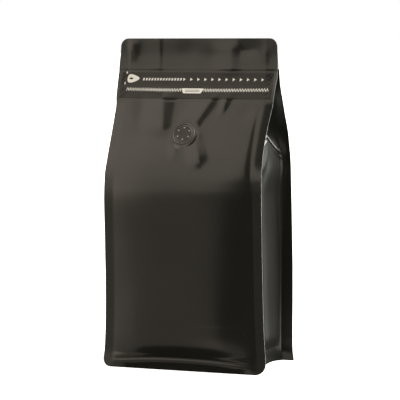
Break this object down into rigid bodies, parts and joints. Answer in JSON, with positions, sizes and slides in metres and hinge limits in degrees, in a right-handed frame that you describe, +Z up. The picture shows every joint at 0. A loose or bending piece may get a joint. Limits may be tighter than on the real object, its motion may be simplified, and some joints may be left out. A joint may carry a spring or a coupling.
{
  "type": "flat-bottom coffee bag with degassing valve",
  "caption": "Upright flat-bottom pouch, shut and filled, with finned side seals, folded side gussets, a pull strip across the front and a round degassing valve.",
  "frame": {"origin": "centre of the base on the surface that the bag stands on", "axes": "+X along the front from left to right, +Y from the front to the back, +Z up from the base to the sealed top"},
  "size_m": [0.1344, 0.0947, 0.258],
  "materials": {
    "film": "matte black laminate film",
    "ribbed_film": "fine cross-ribbed matte black film",
    "valve_plastic": "satin black under film"
  },
  "bodies": {
    "root": {"bag_body": "film", "pull_strip": "ribbed_film", "valve": "valve_plastic"}
  },
  "joints": []
}
